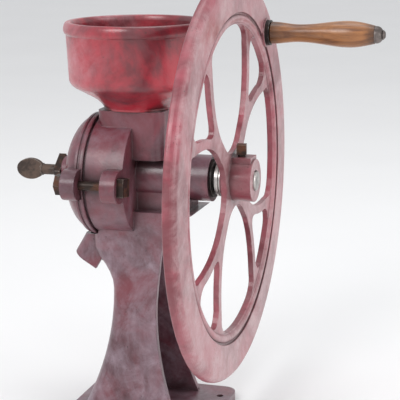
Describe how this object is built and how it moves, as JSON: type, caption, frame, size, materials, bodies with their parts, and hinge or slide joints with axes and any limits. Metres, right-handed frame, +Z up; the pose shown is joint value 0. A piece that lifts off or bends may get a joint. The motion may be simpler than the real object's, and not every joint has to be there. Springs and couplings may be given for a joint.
{
  "type": "hand coffee grinder",
  "caption": "Table-top cast iron coffee grinder with a round hopper, a drum with burrs, a hollow pedestal, a spoked flywheel and a turning wooden grip.",
  "frame": {"origin": "underside of the base plate, on the vertical axis of the hopper", "axes": "+X along the shaft towards the flywheel, +Y to the left of a person who looks along +X, +Z up"},
  "size_m": [0.3609, 0.4, 0.45],
  "materials": {
    "body_enamel": "worn dark red enamel over cast iron",
    "hopper_enamel": "glossy crimson enamel with dark blotches",
    "wheel_enamel": "dusty worn red enamel",
    "rusty_iron": "rusty and oily",
    "black_iron": "dark and dull",
    "burr_iron": "bare, slightly oily",
    "dark_steel": "tarnished",
    "bright_steel": "worn bright",
    "bush_brass": "dull",
    "grip_wood": "varnished and worn"
  },
  "bodies": {
    "frame": {"body_casting": "body_enamel", "hopper": "hopper_enamel", "hopper_screws": "dark_steel", "front_cover": "body_enamel", "cover_bolts": "rusty_iron", "cover_nuts": "rusty_iron", "lock_nut": "rusty_iron", "fixed_burr": "burr_iron", "fixed_burr_screws": "dark_steel", "inner_bush": "bush_brass", "outer_bush": "black_iron"},
    "thrust": {"thrust_pad": "bush_brass"},
    "adjuster": {"adjusting_screw": "black_iron"},
    "crank": {"shaft": "bright_steel", "rotating_burr": "burr_iron", "burr_drive_pin": "bright_steel", "feed_worm": "burr_iron", "worm_pin": "bright_steel", "thrust_collar": "bright_steel", "flywheel": "wheel_enamel", "hub_set_screw": "rusty_iron", "grip_spindle": "dark_steel", "grip_collar": "black_iron"},
    "grip": {"wood_grip": "grip_wood", "grip_end_cap": "dark_steel"}
  },
  "joints": [
    {"name": "shaft_float", "type": "slide", "parent": "frame", "child": "thrust", "axis": [1, 0, 0], "range_m": [-0.001, 0.0008]},
    {"name": "adjuster_turn", "type": "hinge", "parent": "thrust", "child": "adjuster", "pos_m": [-0.07, 0, 0.25], "axis": [1, 0, 0], "range_deg": [-245, 197]},
    {"name": "crank_turn", "type": "hinge", "parent": "thrust", "child": "crank", "pos_m": [0.05, 0, 0.25], "axis": [1, 0, 0], "continuous": true},
    {"name": "grip_spin", "type": "hinge", "parent": "crank", "child": "grip", "pos_m": [0.16, 0.10824, 0.38367], "axis": [1, 0, 0], "continuous": true}
  ],
  "couplings": [
    {"joint": "adjuster_turn", "follows": "shaft_float", "rad_per_m": 4188.8}
  ]
}
